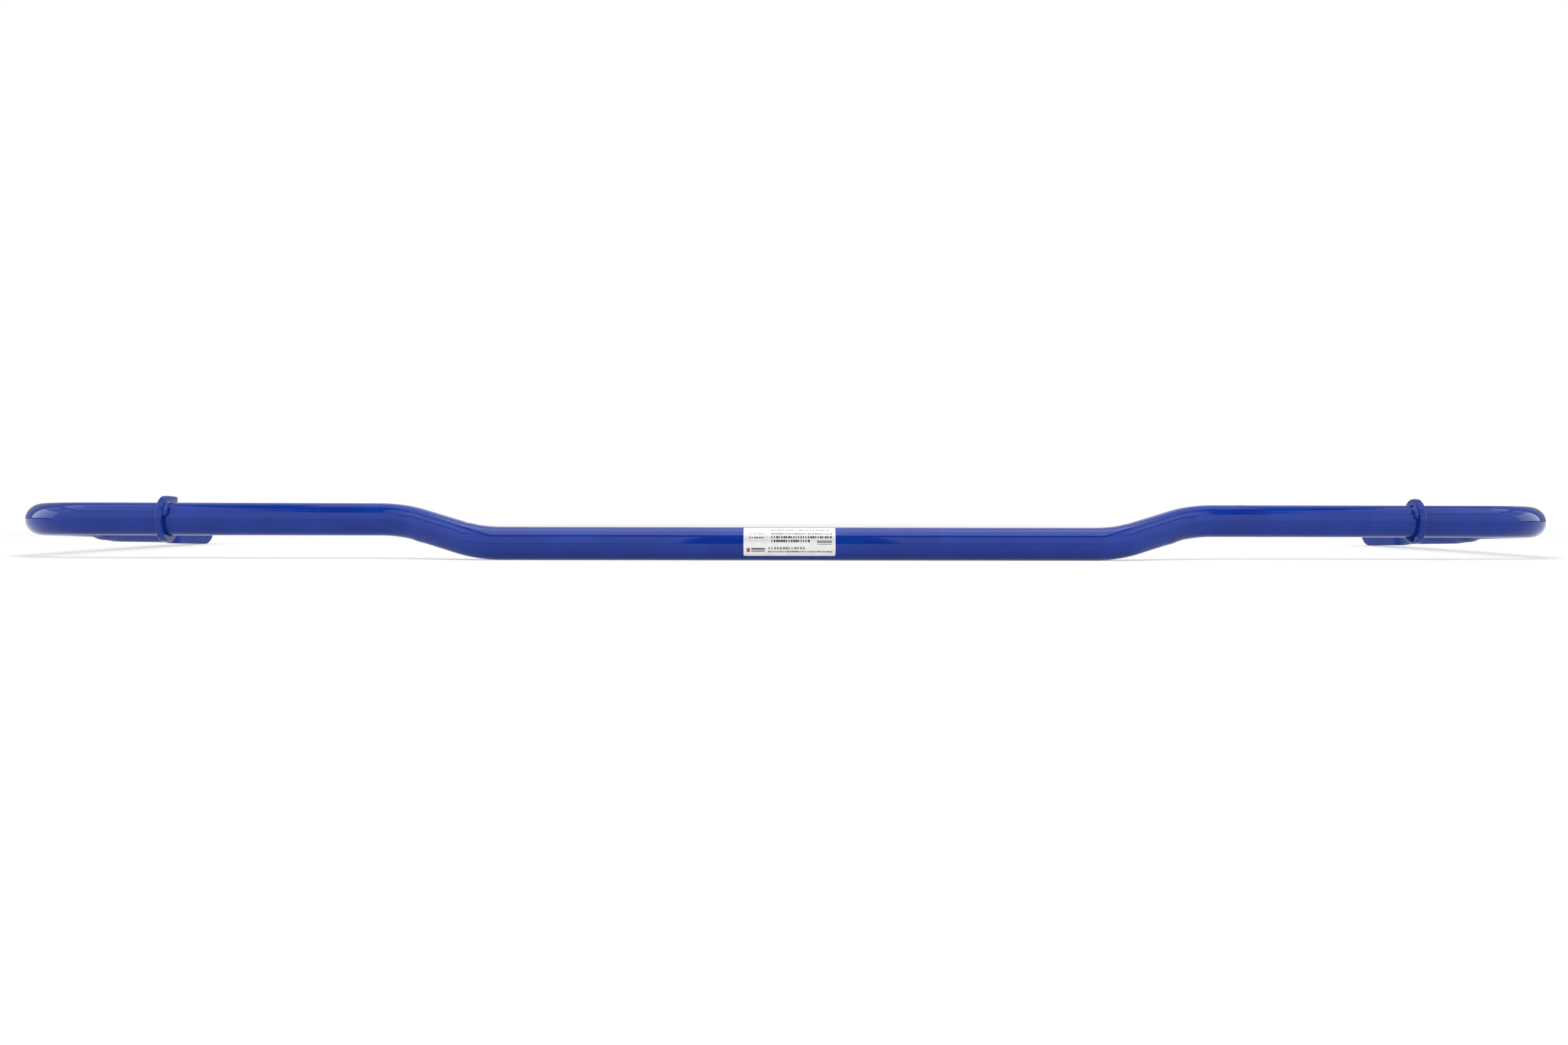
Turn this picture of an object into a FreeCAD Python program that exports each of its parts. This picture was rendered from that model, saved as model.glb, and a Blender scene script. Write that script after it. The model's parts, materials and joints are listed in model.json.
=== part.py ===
import FreeCAD, Part
import Sketcher
import math
import os

# A solid sway bar (anti-roll bar) with forged flat ends, two split stop rings tacked to it
# and a label. Millimetres. +X runs along the bar, +Y runs back along the arms,
# +Z is up. The origin is the middle of the floor area that the bar covers, at floor level.

Vector = FreeCAD.Vector
Rotation = FreeCAD.Rotation
Placement = FreeCAD.Placement

X_AXIS = Vector(1, 0, 0)
Z_AXIS = Vector(0, 0, 1)
ORIGIN = Vector(0, 0, 0)

DIMENSIONS = [
    # the bent bar
    ("bar_diameter", 22),
    ("centre_half", 211.5),          # middle of the bar to the inner corner of each offset
    ("offset_half", 268.5),          # middle of the bar to the outer corner of each offset
    ("offset_back", 27),             # how far the outer sections lie behind the centre one
    ("offset_rise", 15.2),           # how far they lie above it
    ("offset_bend_radius", 60),
    ("arm_half", 525.5),             # middle of the bar to each arm's axis
    ("arm_bend_radius", 50),
    # the forged end of each arm, measured back from the outer section's axis
    ("arm_reach", 340),
    ("shoulder_start", 118),
    ("shoulder_step", 138),
    ("shoulder_end", 166),
    ("step_height", 26.6),
    ("step_thickness", 17),
    ("step_corner", 7),
    ("shank_height", 28.8),
    ("shank_thickness", 13.4),
    ("shank_corner", 4),
    ("ramp_start", 252),
    ("ramp_end", 262),
    ("eye_height", 30.6),
    ("eye_thickness", 11.4),
    ("eye_offset", 2.4),             # the eye plate's shift towards the middle of the bar
    ("eye_corner", 3),
    ("hole_diameter", 10.5),
    ("hole_pitch", 28),
    ("hole_chamfer", 0.6),
    # the split stop rings
    ("ring_position", 423.4),        # middle of the bar to each ring's inner face
    ("ring_inner", 22.7),
    ("ring_outer", 31.3),
    ("ring_width", 4.5),
    ("ring_edge", 0.7),
    ("ring_tail", 14),               # straight end of the band, which stands off the bar
    ("ring_tail_angle", 88),
    ("ring_cut_angle", 5),
    # the weld tacks
    ("tack_radius", 2.4),
    ("tack_stand_off", 1.2),         # middle of the bead outside the bar's surface
    ("tack_shift", 0.6),             # middle of the bead off the ring's face
    ("tack_angle", 46),
    # the label
    ("label_length", 60.5),
    ("label_place", -7.4),           # middle of the label, from the middle of the bar
    ("label_thickness", 0.12),
    ("label_low_angle", -45),
    ("label_high_angle", 72),
    ("label_corner", 1.2),
]

FRONT_TACK_ANGLE = 148               # middle of a tack, counted from the back over the top
REAR_TACK_ANGLES = {"left": 326, "right": 288}
RING_TURNS = {"left": 0, "right": -40}
SIDES = {"left": -1, "right": 1}

doc = FreeCAD.newDocument("sway_bar")


def fill_sheet():
    """Write the driving dimensions to the spreadsheet, and return them by alias."""
    sheet = doc.addObject("Spreadsheet::Sheet", "Dimensions")
    values = {}
    for row, (alias, value) in enumerate(DIMENSIONS, start=1):
        sheet.set("A%d" % row, alias)
        sheet.set("B%d" % row, str(value))
        sheet.setAlias("B%d" % row, alias)
        values[alias] = float(value)
    doc.recompute()
    return values


size = fill_sheet()


def bind(owner, prop, formula):
    """Bind a property to sheet cells; each alias in the formula is written with a $."""
    owner.setExpression(prop, formula.replace("$", "Dimensions."))


# ---------------------------------------------------------------- the bar's centre line

BAR_RADIUS = size["bar_diameter"] / 2
EYE_RADIUS = size["eye_height"] / 2
OUTER_Z = BAR_RADIUS + size["offset_rise"]
TIP_CENTRE = size["arm_reach"] - EYE_RADIUS
ARM_SLOPE = math.asin((OUTER_Z - EYE_RADIUS) / TIP_CENTRE)
TIP_Y = size["offset_back"] + TIP_CENTRE * math.cos(ARM_SLOPE) + EYE_RADIUS
CENTRE_Y = (BAR_RADIUS - TIP_Y) / 2
OUTER_Y = CENTRE_Y + size["offset_back"]


def arm_point(sign, along):
    """A point of an arm's axis, at a distance back from the outer section's axis."""
    back = Vector(0, math.cos(ARM_SLOPE), -math.sin(ARM_SLOPE))
    return Vector(sign * size["arm_half"], OUTER_Y, OUTER_Z) + back * along


def half_route(sign):
    """Corners and bend radii from the middle of the bar to the start of one forging."""
    return [
        (Vector(sign * size["centre_half"], CENTRE_Y, BAR_RADIUS), "offset_bend_radius"),
        (Vector(sign * size["offset_half"], OUTER_Y, OUTER_Z), "offset_bend_radius"),
        (arm_point(sign, 0), "arm_bend_radius"),
    ]


def straight_run(name, start, end):
    """A round stretch of bar between two points."""
    run = doc.addObject("Part::Cylinder", name)
    bind(run, "Radius", "$bar_diameter / 2")
    run.Height = start.distanceToPoint(end)
    run.Placement = Placement(start, Rotation(Z_AXIS, end - start))
    return run


def bend(name, centre, start, turn_axis, angle, radius_alias):
    """A bent stretch of bar: part of a torus that starts at one point of its arc."""
    arc = doc.addObject("Part::Torus", name)
    bind(arc, "Radius1", "$" + radius_alias)
    bind(arc, "Radius2", "$bar_diameter / 2")
    arc.Angle3 = math.degrees(angle)
    out = (start - centre).normalize()
    turn = Rotation(out, turn_axis.cross(out), turn_axis, "XYZ")
    arc.Placement = Placement(centre, turn)
    return arc


def make_rod():
    """The round part of the bar, as straight runs joined by tangent bends."""
    left = half_route(-1)
    right = half_route(1)
    corners = list(reversed(left)) + right
    ends = [arm_point(sign, size["shoulder_start"]) for sign in (-1, 1)]
    points = [ends[0]] + [point for point, radius in corners] + [ends[1]]
    stretches = []
    run_start = points[0]
    for i, (corner, radius_alias) in enumerate(corners, start=1):
        back = (points[i - 1] - corner).normalize()
        ahead = (points[i + 1] - corner).normalize()
        angle = math.pi - back.getAngle(ahead)
        radius = size[radius_alias]
        tangent = radius * math.tan(angle / 2)
        arc_start = corner + back * tangent
        arc_end = corner + ahead * tangent
        inward = (back + ahead).normalize()
        centre = corner + inward * (radius / math.cos(angle / 2))
        turn_axis = (arc_start - centre).cross(arc_end - centre).normalize()
        stretches.append(straight_run("run_%d" % i, run_start, arc_start))
        stretches.append(bend("bend_%d" % i, centre, arc_start, turn_axis, angle, radius_alias))
        run_start = arc_end
    stretches.append(straight_run("run_%d" % len(points), run_start, points[-1]))
    return stretches


# ------------------------------------------------------------------ sketches and bodies

def origin_plane(body, role):
    """One of a body's own origin planes."""
    for feature in body.Origin.OriginFeatures:
        if feature.Role == role:
            return feature
    raise ValueError("no plane " + role)


def new_sketch(body, name, role, offset_formula=None):
    """A sketch on one of the body's origin planes, moved along its normal if asked."""
    sketch = body.newObject("Sketcher::SketchObject", name)
    sketch.AttachmentSupport = [(origin_plane(body, role), "")]
    sketch.MapMode = "FlatFace"
    if offset_formula:
        bind(sketch, "AttachmentOffset.Base.z", offset_formula)
    return sketch


def dimension(sketch, kind, name, formula, *where):
    """Add a named dimension to a sketch and bind it to the sheet."""
    index = sketch.addConstraint(Sketcher.Constraint(kind, *where))
    sketch.renameConstraint(index, name)
    bind(sketch, "Constraints." + name, formula)


def draw_circle(sketch, formula, radius):
    """A circle about the sketch's origin."""
    sketch.addGeometry(Part.Circle(ORIGIN, Z_AXIS, radius))
    sketch.addConstraint(Sketcher.Constraint("Coincident", 0, 3, -1, 1))
    dimension(sketch, "Radius", "radius", formula, 0, radius)


def draw_outline(sketch, points):
    """Straight lines through the points and back to the first one."""
    count = len(points)
    for i in range(count):
        sketch.addGeometry(Part.LineSegment(points[i], points[(i + 1) % count]))
    for i in range(count):
        sketch.addConstraint(Sketcher.Constraint("Coincident", i, 2, (i + 1) % count, 1))


def draw_rounded_block(sketch, width, height, corner, shift=0):
    """A rounded rectangle, centred on the sketch's horizontal axis.

    width, height and corner are aliases; shift moves the middle sideways, in eye offsets.
    """
    middle = shift * size["eye_offset"]
    half_w = size[width] / 2
    half_h = size[height] / 2
    cut = size[corner]
    low = Vector(middle - half_w, -half_h, 0)
    high = Vector(middle + half_w, half_h, 0)
    sides = [
        (Vector(low.x + cut, low.y, 0), Vector(high.x - cut, low.y, 0)),
        (Vector(high.x, low.y + cut, 0), Vector(high.x, high.y - cut, 0)),
        (Vector(high.x - cut, high.y, 0), Vector(low.x + cut, high.y, 0)),
        (Vector(low.x, high.y - cut, 0), Vector(low.x, low.y + cut, 0)),
    ]
    centres = [
        Vector(high.x - cut, low.y + cut, 0),
        Vector(high.x - cut, high.y - cut, 0),
        Vector(low.x + cut, high.y - cut, 0),
        Vector(low.x + cut, low.y + cut, 0),
    ]
    for i in range(4):
        sketch.addGeometry(Part.LineSegment(*sides[i]))
        circle = Part.Circle(centres[i], Z_AXIS, cut)
        start = (i - 1) * math.pi / 2
        sketch.addGeometry(Part.ArcOfCircle(circle, start, start + math.pi / 2))
    for i in range(4):
        line = 2 * i
        arc = line + 1
        following = (line + 2) % 8
        sketch.addConstraint(Sketcher.Constraint("Tangent", line, 2, arc, 1))
        sketch.addConstraint(Sketcher.Constraint("Tangent", arc, 2, following, 1))
    for line, direction in ((0, "Horizontal"), (4, "Horizontal"), (6, "Vertical")):
        sketch.addConstraint(Sketcher.Constraint(direction, line))
    for arc in (3, 5, 7):
        sketch.addConstraint(Sketcher.Constraint("Equal", 1, arc))
    sketch.addConstraint(Sketcher.Constraint("Symmetric", 2, 1, 2, 2, -1))
    dimension(sketch, "Radius", "corner", "$" + corner, 1, cut)
    dimension(sketch, "DistanceY", "height", "$" + height, 0, 1, 4, 2, 2 * half_h)
    dimension(sketch, "DistanceX", "width", "$" + width, 6, 1, 2, 1, 2 * half_w)
    right = "$%s / 2 + %d * $eye_offset" % (width, shift)
    dimension(sketch, "DistanceX", "place", right, -1, 1, 2, 1, high.x)


def extrude(body, name, sketch, length_formula, reversed_way=False, midplane=False):
    """Pad a sketch."""
    pad = body.newObject("PartDesign::Pad", name)
    pad.Profile = sketch
    bind(pad, "Length", length_formula)
    pad.Reversed = reversed_way
    pad.Midplane = midplane
    return pad


def loft(body, name, sketches, ruled=False):
    """Loft through sketches, first to last."""
    feature = body.newObject("PartDesign::AdditiveLoft", name)
    feature.Profile = sketches[0]
    feature.Sections = sketches[1:]
    feature.Ruled = ruled
    return feature


# ------------------------------------------------------------------ the forged arm ends

def make_forging(side):
    """One arm's forging: shoulder, flat shank, ramp, and an eye plate with two link holes."""
    sign = SIDES[side]
    inward = -sign
    body = doc.addObject("PartDesign::Body", side + "_forging")

    def section(name, place):
        return new_sketch(body, name, "XZ_Plane", "-" + place)

    neck = section("neck", "$shoulder_start")
    draw_circle(neck, "$bar_diameter / 2", BAR_RADIUS)
    step = section("step", "$shoulder_step")
    draw_rounded_block(step, "step_thickness", "step_height", "step_corner")
    shank = section("shank", "$shoulder_end")
    draw_rounded_block(shank, "shank_thickness", "shank_height", "shank_corner")
    loft(body, "shoulder", [neck, step, shank])
    extrude(body, "shank_bar", shank, "$ramp_start - $shoulder_end", reversed_way=True)

    ramp_foot = section("ramp_foot", "$ramp_start")
    draw_rounded_block(ramp_foot, "shank_thickness", "shank_height", "shank_corner")
    ramp_top = section("ramp_top", "$ramp_end")
    draw_rounded_block(ramp_top, "eye_thickness", "eye_height", "eye_corner", inward)
    loft(body, "ramp", [ramp_foot, ramp_top], ruled=True)
    extrude(body, "eye_plate", ramp_top, "$arm_reach - $eye_height / 2 - $ramp_end",
            reversed_way=True)

    tip = new_sketch(body, "tip", "XZ_Plane", "$eye_height / 2 - $arm_reach")
    draw_half_plate(tip, inward)
    turn = body.newObject("PartDesign::Revolution", "round_tip")
    turn.Profile = tip
    turn.ReferenceAxis = (tip, ["H_Axis"])
    turn.Angle = 180
    turn.Reversed = True

    holes = new_sketch(body, "holes", "YZ_Plane")
    draw_holes(holes)
    doc.recompute()
    bore = body.newObject("PartDesign::Pocket", "link_holes")
    bore.Profile = holes
    bore.Type = "ThroughAll"
    bore.Midplane = True
    doc.recompute()
    rims = hole_rims(bore.Shape)
    chamfer = body.newObject("PartDesign::Chamfer", "hole_rims")
    chamfer.Base = (bore, rims)
    bind(chamfer, "Size", "$hole_chamfer")
    tilt = Rotation(X_AXIS, -math.degrees(ARM_SLOPE))
    body.Placement = Placement(arm_point(sign, 0), tilt)
    return body


def draw_half_plate(sketch, inward):
    """The upper half of the eye plate's section, which turns into the round tip."""
    half_t = size["eye_thickness"] / 2
    cut = size["eye_corner"]
    middle = inward * size["eye_offset"]
    top = EYE_RADIUS
    foot_left = Vector(middle - half_t, 0, 0)
    foot_right = Vector(middle + half_t, 0, 0)
    sketch.addGeometry(Part.LineSegment(foot_left, foot_right))
    sketch.addGeometry(Part.LineSegment(foot_right, foot_right + Vector(0, top - cut, 0)))
    right_circle = Part.Circle(Vector(foot_right.x - cut, top - cut, 0), Z_AXIS, cut)
    sketch.addGeometry(Part.ArcOfCircle(right_circle, 0, math.pi / 2))
    sketch.addGeometry(Part.LineSegment(Vector(foot_right.x - cut, top, 0),
                                        Vector(foot_left.x + cut, top, 0)))
    left_circle = Part.Circle(Vector(foot_left.x + cut, top - cut, 0), Z_AXIS, cut)
    sketch.addGeometry(Part.ArcOfCircle(left_circle, math.pi / 2, math.pi))
    sketch.addGeometry(Part.LineSegment(Vector(foot_left.x, top - cut, 0), foot_left))
    sketch.addConstraint(Sketcher.Constraint("Coincident", 0, 2, 1, 1))
    sketch.addConstraint(Sketcher.Constraint("Tangent", 1, 2, 2, 1))
    sketch.addConstraint(Sketcher.Constraint("Tangent", 2, 2, 3, 1))
    sketch.addConstraint(Sketcher.Constraint("Tangent", 3, 2, 4, 1))
    sketch.addConstraint(Sketcher.Constraint("Tangent", 4, 2, 5, 1))
    sketch.addConstraint(Sketcher.Constraint("Coincident", 5, 2, 0, 1))
    sketch.addConstraint(Sketcher.Constraint("Vertical", 1))
    sketch.addConstraint(Sketcher.Constraint("Vertical", 5))
    sketch.addConstraint(Sketcher.Constraint("Horizontal", 3))
    sketch.addConstraint(Sketcher.Constraint("PointOnObject", 0, 1, -1))
    sketch.addConstraint(Sketcher.Constraint("PointOnObject", 0, 2, -1))
    sketch.addConstraint(Sketcher.Constraint("Equal", 2, 4))
    dimension(sketch, "Radius", "corner", "$eye_corner", 2, cut)
    dimension(sketch, "DistanceX", "width", "$eye_thickness", 0, 1, 0, 2, 2 * half_t)
    dimension(sketch, "DistanceY", "height", "$eye_height / 2", 0, 2, 3, 1, top)
    right = "$eye_thickness / 2 + %d * $eye_offset" % inward
    dimension(sketch, "DistanceX", "place", right, -1, 1, 0, 2, foot_right.x)


def draw_holes(sketch):
    """Two holes in a row along the arm; the rear one is centred in the round tip."""
    radius = size["hole_diameter"] / 2
    places = [TIP_CENTRE, TIP_CENTRE - size["hole_pitch"]]
    formulas = ["$arm_reach - $eye_height / 2", "$arm_reach - $eye_height / 2 - $hole_pitch"]
    for i in range(2):
        sketch.addGeometry(Part.Circle(Vector(places[i], 0, 0), Z_AXIS, radius))
        sketch.addConstraint(Sketcher.Constraint("PointOnObject", i, 3, -1))
        dimension(sketch, "DistanceX", "place_%d" % i, formulas[i], -1, 1, i, 3, places[i])
        dimension(sketch, "Radius", "radius_%d" % i, "$hole_diameter / 2", i, radius)


def hole_rims(shape):
    """The names of the circular edges at the mouths of the link holes."""
    names = []
    for i, edge in enumerate(shape.Edges, start=1):
        if isinstance(edge.Curve, Part.Circle):
            same_size = abs(edge.Curve.Radius - size["hole_diameter"] / 2) < 1e-6
            if same_size and edge.isClosed():
                names.append("Edge%d" % i)
    return names


def make_bar():
    """The bar in one piece: its round runs and bends and the two forged ends."""
    stretches = make_rod()
    forgings = [make_forging(side) for side in SIDES]
    bar = doc.addObject("Part::MultiFuse", "bar")
    bar.Shapes = stretches + forgings
    bar.Refine = True
    return bar


# ------------------------------------------------------------------------ the stop rings

def make_ring(side):
    """A C-shaped band around the bar. One end is cut square, and one stands off the bar."""
    sign = SIDES[side]
    body = doc.addObject("PartDesign::Body", side + "_stop_ring")
    sketch = new_sketch(body, "band", "YZ_Plane")
    inner = size["ring_inner"] / 2
    outer = size["ring_outer"] / 2
    start = math.radians(size["ring_tail_angle"])
    end = 2 * math.pi - math.radians(size["ring_cut_angle"])

    def on(radius, angle, back=0):
        away = Vector(math.cos(angle), math.sin(angle), 0)
        along = Vector(math.sin(angle), -math.cos(angle), 0)
        return away * radius + along * back

    tail = size["ring_tail"]
    for radius in (outer, inner):
        sketch.addGeometry(Part.ArcOfCircle(Part.Circle(ORIGIN, Z_AXIS, radius), start, end))
    sketch.addGeometry(Part.LineSegment(on(outer, end), on(inner, end)))
    sketch.addGeometry(Part.LineSegment(on(outer, start), on(outer, start, tail)))
    sketch.addGeometry(Part.LineSegment(on(outer, start, tail), on(inner, start, tail)))
    sketch.addGeometry(Part.LineSegment(on(inner, start, tail), on(inner, start)))
    for arc in (0, 1):
        sketch.addConstraint(Sketcher.Constraint("Coincident", arc, 3, -1, 1))
    sketch.addConstraint(Sketcher.Constraint("Coincident", 0, 2, 2, 1))
    sketch.addConstraint(Sketcher.Constraint("Coincident", 1, 2, 2, 2))
    sketch.addConstraint(Sketcher.Constraint("Tangent", 0, 1, 3, 1))
    sketch.addConstraint(Sketcher.Constraint("Tangent", 1, 1, 5, 2))
    sketch.addConstraint(Sketcher.Constraint("Coincident", 3, 2, 4, 1))
    sketch.addConstraint(Sketcher.Constraint("Coincident", 4, 2, 5, 1))
    sketch.addConstraint(Sketcher.Constraint("Perpendicular", 3, 4))
    sketch.addConstraint(Sketcher.Constraint("Parallel", 3, 5))
    dimension(sketch, "Radius", "outer", "$ring_outer / 2", 0, outer)
    dimension(sketch, "Radius", "inner", "$ring_inner / 2", 1, inner)
    dimension(sketch, "Distance", "tail", "$ring_tail", 3, tail)
    sketch.addConstraint(Sketcher.Constraint("PointOnObject", -1, 1, 2))
    dimension(sketch, "DistanceY", "cut", "$ring_outer / 2 * sin($ring_cut_angle * 1deg)",
              0, 2, -1, 1, outer * math.sin(math.radians(size["ring_cut_angle"])))
    dimension(sketch, "DistanceX", "tail_start",
              "$ring_outer / 2 * cos($ring_tail_angle * 1deg)",
              -1, 1, 0, 1, outer * math.cos(start))
    band = extrude(body, "ring", sketch, "$ring_width", midplane=True)
    doc.recompute()
    rims = []
    for i, edge in enumerate(band.Shape.Edges, start=1):
        if isinstance(edge.Curve, Part.Circle) and abs(edge.Curve.Radius - outer) < 1e-6:
            rims.append("Edge%d" % i)
    fillet = body.newObject("PartDesign::Fillet", "rims")
    fillet.Base = (band, rims)
    bind(fillet, "Radius", "$ring_edge")
    middle = sign * (size["ring_position"] + size["ring_width"] / 2)
    turn = Rotation(X_AXIS, RING_TURNS[side])
    body.Placement = Placement(Vector(middle, OUTER_Y, OUTER_Z), turn)
    return body


def make_tack(side, end_name, angle):
    """A weld bead between the ring's inner face and the bar, cut where they are."""
    sign = SIDES[side]
    name = "%s_%s_weld" % (side, end_name)
    face = Vector(sign * size["ring_position"], OUTER_Y, OUTER_Z)
    bead = doc.addObject("Part::Torus", name + "_bead")
    bind(bead, "Radius1", "$bar_diameter / 2 + $tack_stand_off")
    bind(bead, "Radius2", "$tack_radius")
    bind(bead, "Angle3", "$tack_angle * 1deg")
    start = math.radians(angle - size["tack_angle"] / 2)
    out = Vector(0, math.cos(start), math.sin(start))
    turn = Rotation(out, X_AXIS.cross(out), X_AXIS, "XYZ")
    bead.Placement = Placement(face - X_AXIS * sign * size["tack_shift"], turn)

    room = 10 * size["tack_radius"]
    core = doc.addObject("Part::Cylinder", name + "_core")
    bind(core, "Radius", "$bar_diameter / 2")
    core.Height = room
    core.Placement = Placement(face - X_AXIS * (room / 2), Rotation(Z_AXIS, X_AXIS))
    behind = doc.addObject("Part::Cylinder", name + "_behind")
    bind(behind, "Radius", "$ring_outer")
    behind.Height = room
    behind.Placement = Placement(face, Rotation(Z_AXIS, X_AXIS * sign))
    tools = doc.addObject("Part::MultiFuse", name + "_tools")
    tools.Shapes = [core, behind]
    tack = doc.addObject("Part::Cut", name)
    tack.Base = bead
    tack.Tool = tools
    return tack


# ----------------------------------------------------------------------------- the label

def make_label():
    """A thin sheet wrapped round the front of the centre section."""
    body = doc.addObject("PartDesign::Body", "label")
    sketch = new_sketch(body, "wrap", "YZ_Plane")
    inner = BAR_RADIUS
    outer = BAR_RADIUS + size["label_thickness"]
    low = math.radians(180 - size["label_high_angle"])
    high = math.radians(180 - size["label_low_angle"])

    def on(radius, angle):
        return Vector(radius * math.cos(angle), radius * math.sin(angle), 0)

    for radius in (outer, inner):
        sketch.addGeometry(Part.ArcOfCircle(Part.Circle(ORIGIN, Z_AXIS, radius), low, high))
    sketch.addGeometry(Part.LineSegment(on(outer, high), on(inner, high)))
    sketch.addGeometry(Part.LineSegment(on(inner, low), on(outer, low)))
    for arc in (0, 1):
        sketch.addConstraint(Sketcher.Constraint("Coincident", arc, 3, -1, 1))
    sketch.addConstraint(Sketcher.Constraint("Coincident", 0, 2, 2, 1))
    sketch.addConstraint(Sketcher.Constraint("Coincident", 2, 2, 1, 2))
    sketch.addConstraint(Sketcher.Constraint("Coincident", 1, 1, 3, 1))
    sketch.addConstraint(Sketcher.Constraint("Coincident", 3, 2, 0, 1))
    for line in (2, 3):
        sketch.addConstraint(Sketcher.Constraint("PointOnObject", -1, 1, line))
    dimension(sketch, "Radius", "inner", "$bar_diameter / 2", 1, inner)
    dimension(sketch, "Radius", "outer", "$bar_diameter / 2 + $label_thickness", 0, outer)
    dimension(sketch, "DistanceY", "low", "-$bar_diameter / 2 * sin($label_low_angle * 1deg)",
              1, 2, -1, 1, -inner * math.sin(high))
    dimension(sketch, "DistanceY", "high", "$bar_diameter / 2 * sin($label_high_angle * 1deg)",
              -1, 1, 1, 1, inner * math.sin(low))
    wrap = extrude(body, "sheet", sketch, "$label_length", midplane=True)
    doc.recompute()
    corners = []
    for i, edge in enumerate(wrap.Shape.Edges, start=1):
        if edge.Length < 2 * size["label_thickness"]:
            corners.append("Edge%d" % i)
    fillet = body.newObject("PartDesign::Fillet", "corners")
    fillet.Base = (wrap, corners)
    bind(fillet, "Radius", "$label_corner")
    body.Placement = Placement(Vector(size["label_place"], CENTRE_Y, BAR_RADIUS), Rotation())
    return body


# ------------------------------------------------------------------- build, check, write

def build():
    """Make every sub-part, labelled with its node's name."""
    pieces = [make_bar(), make_label()]
    for side in SIDES:
        pieces.append(make_ring(side))
        pieces.append(make_tack(side, "front", FRONT_TACK_ANGLE))
        pieces.append(make_tack(side, "rear", REAR_TACK_ANGLES[side]))
    for piece in pieces:
        piece.Label = piece.Name
    doc.recompute()
    return pieces


def check(pieces):
    """Stop if any object failed or any sub-part isn't a valid solid."""
    for item in doc.Objects:
        if "Invalid" in item.State or "Error" in item.State:
            raise RuntimeError("%s failed: %s" % (item.Name, item.State))
    for piece in pieces:
        shape = piece.Shape
        if shape.isNull() or not shape.isValid() or not shape.Solids:
            raise RuntimeError("%s isn't a valid solid" % piece.Label)
        box = shape.BoundBox
        print("%-18s solids %d  volume %10.2f  x %.2f..%.2f  y %.2f..%.2f  z %.2f..%.2f" % (
            piece.Label, len(shape.Solids), shape.Volume,
            box.XMin, box.XMax, box.YMin, box.YMax, box.ZMin, box.ZMax))


def write(pieces):
    """Write one STEP file for each sub-part."""
    os.makedirs("parts", exist_ok=True)
    for piece in pieces:
        piece.Shape.exportStep("parts/%s.step" % piece.Label)


all_pieces = build()
check(all_pieces)
write(all_pieces)
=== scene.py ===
import json
import math
import bmesh
import bpy
from mathutils import Matrix, Vector, noise


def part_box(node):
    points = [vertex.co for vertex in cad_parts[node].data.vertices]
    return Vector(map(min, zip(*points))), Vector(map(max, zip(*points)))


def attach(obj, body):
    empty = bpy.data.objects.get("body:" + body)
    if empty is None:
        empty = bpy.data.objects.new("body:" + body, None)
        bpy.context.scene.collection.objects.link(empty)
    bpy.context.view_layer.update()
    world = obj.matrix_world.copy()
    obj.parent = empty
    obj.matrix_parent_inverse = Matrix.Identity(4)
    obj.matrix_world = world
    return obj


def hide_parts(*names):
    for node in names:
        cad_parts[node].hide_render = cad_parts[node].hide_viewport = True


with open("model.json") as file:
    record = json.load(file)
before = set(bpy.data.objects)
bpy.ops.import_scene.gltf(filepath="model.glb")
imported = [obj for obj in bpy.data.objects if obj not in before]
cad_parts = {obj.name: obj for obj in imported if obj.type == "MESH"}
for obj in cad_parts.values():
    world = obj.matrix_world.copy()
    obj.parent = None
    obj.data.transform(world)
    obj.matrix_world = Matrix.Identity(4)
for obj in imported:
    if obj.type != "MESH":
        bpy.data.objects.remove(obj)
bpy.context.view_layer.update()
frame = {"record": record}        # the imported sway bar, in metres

# The looks of a blue sway bar: one bent and forged bar, two split stop rings with their weld
# tacks, and a label. +X runs along the bar, +Y back along the arms, +Z up. The bar's places
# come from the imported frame, and the constants give the sizes that the frame doesn't.

MM = 0.001
MOUNTS = {mount["name"]: mount for mount in frame["record"]["mounts"]}
SIDES = {"left": -1, "right": 1}

# ------------------------------------------------------------------------ places and sizes

BAR_LOW, BAR_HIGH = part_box("bar")
RADIUS = MOUNTS["right_bush_seat"]["dims"]["r_mm"] * MM
OUTER_AXIS = Vector(MOUNTS["right_bush_seat"]["pos_m"])      # on the outer sections' axis
CENTRE_AXIS = Vector((0, BAR_LOW.y + RADIUS, RADIUS))        # on the centre section's axis
EYE_REAR = Vector(MOUNTS["right_link_hole_rear"]["pos_m"])
EYE_FRONT = Vector(MOUNTS["right_link_hole_front"]["pos_m"])
HOLE_RADIUS = MOUNTS["right_link_hole_rear"]["dims"]["r_mm"] * MM

CENTRE_HALF = 211.5 * MM             # middle of the bar to each offset's inner corner
OFFSET_HALF = 268.5 * MM             # and to its outer corner
OFFSET_BEND = 60 * MM
ARM_BEND = 50 * MM
ARM_X = BAR_HIGH.x - RADIUS

ARM_START = Vector((ARM_X, OUTER_AXIS.y, OUTER_AXIS.z))
TIP = Vector((ARM_X, EYE_REAR.y, EYE_REAR.z))                # axis of the arm's round tip
ARM_WAY = (TIP - ARM_START).normalized()

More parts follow.
